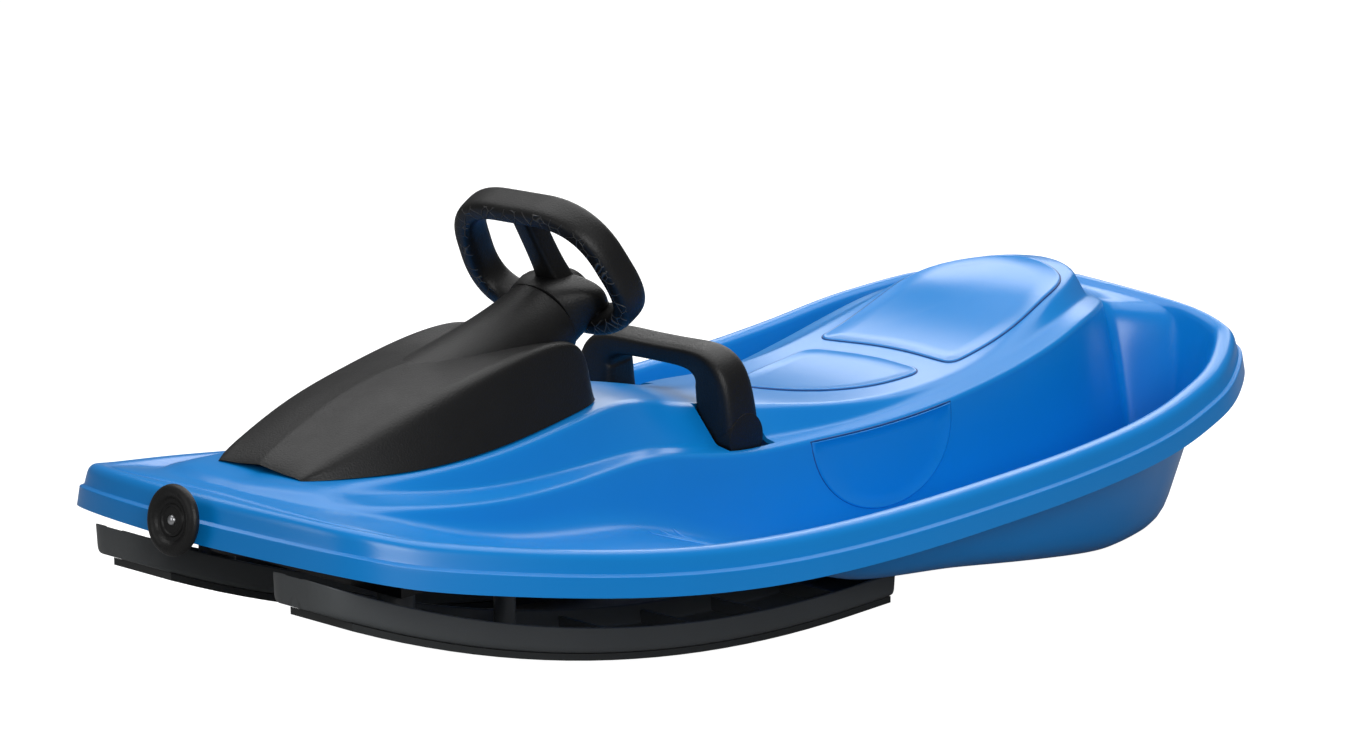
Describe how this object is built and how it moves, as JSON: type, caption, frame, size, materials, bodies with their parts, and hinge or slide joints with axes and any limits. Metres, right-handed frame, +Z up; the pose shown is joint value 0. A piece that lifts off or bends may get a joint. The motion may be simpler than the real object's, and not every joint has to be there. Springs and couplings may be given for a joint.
{
  "type": "steering sled",
  "caption": "Moulded plastic sled with footwells and a two-tier seat, steered by a yoke wheel that turns paired skis, with an arch brake lever and a retracting pull handle.",
  "frame": {"origin": "on the snow, at the middle of the length and width", "axes": "+X forward to the nose, +Y to the rider's left, +Z up"},
  "size_m": [1.1883, 0.558, 0.3976],
  "materials": {
    "blue_shell": "gloss",
    "black_plastic": "fine grain",
    "ski_plastic": "satin",
    "sole_plastic": "satin",
    "steel": "zinc plated",
    "nylon": "plain"
  },
  "bodies": {
    "deck": {"deck_shell": "blue_shell", "cowl": "black_plastic", "cowl_screws": "steel", "steering_carrier": "black_plastic", "carrier_screws": "steel", "upper_bush": "nylon", "lower_bush": "nylon", "kingpin_bolts": "steel", "kingpin_nuts": "steel", "kingpin_washers": "steel", "nose_ferrule": "black_plastic", "reel_housing": "black_plastic", "reel_axle": "steel", "reel_cover": "black_plastic"},
    "steering": {"steering_wheel": "black_plastic", "steering_shaft": "steel", "wheel_cap": "black_plastic"},
    "tie_bar": {"tie_bar": "black_plastic"},
    "left_ski": {"left_ski": "ski_plastic", "left_ski_sole": "sole_plastic"},
    "right_ski": {"right_ski": "ski_plastic", "right_ski_sole": "sole_plastic"},
    "brake": {"brake_handle": "black_plastic", "brake_axle": "steel", "brake_claw": "steel"},
    "reel": {"reel_drum": "nylon"},
    "pull": {"pull_handle": "black_plastic"}
  },
  "joints": [
    {"name": "steering", "type": "hinge", "parent": "deck", "child": "steering", "pos_m": [0.15, 0, 0.3], "axis": [-0.866, 0, 0.5], "range_deg": [-25, 25]},
    {"name": "tie_bar", "type": "slide", "parent": "deck", "child": "tie_bar", "axis": [0, 1, 0], "range_m": [-0.0172, 0.0172]},
    {"name": "left_ski", "type": "hinge", "parent": "deck", "child": "left_ski", "pos_m": [0.45, 0.105, 0.115], "axis": [0, 0, 1], "range_deg": [-8.3, 8.3]},
    {"name": "right_ski", "type": "hinge", "parent": "deck", "child": "right_ski", "pos_m": [0.45, -0.105, 0.115], "axis": [0, 0, 1], "range_deg": [-8.3, 8.3]},
    {"name": "brake", "type": "hinge", "parent": "deck", "child": "brake", "pos_m": [0.02, 0, 0.168], "axis": [0, -1, 0], "range_deg": [0, 25], "stiffness_Nm_per_rad": 3, "springref_deg": -20.05},
    {"name": "reel", "type": "hinge", "parent": "deck", "child": "reel", "pos_m": [0.498, 0, 0.175], "axis": [0, 0, 1], "range_deg": [0, 61.6]},
    {"name": "pull", "type": "slide", "parent": "deck", "child": "pull", "axis": [0.9848, 0, 0.1736], "range_m": [0, 0.03], "stiffness_N_per_m": 20, "springref_m": -0.3}
  ],
  "couplings": [
    {"joint": "tie_bar", "follows": "steering", "m_per_rad": -0.03875},
    {"joint": "left_ski", "follows": "steering", "ratio": 0.3229},
    {"joint": "right_ski", "follows": "steering", "ratio": 0.3229},
    {"joint": "reel", "follows": "pull", "rad_per_m": 35.714}
  ]
}
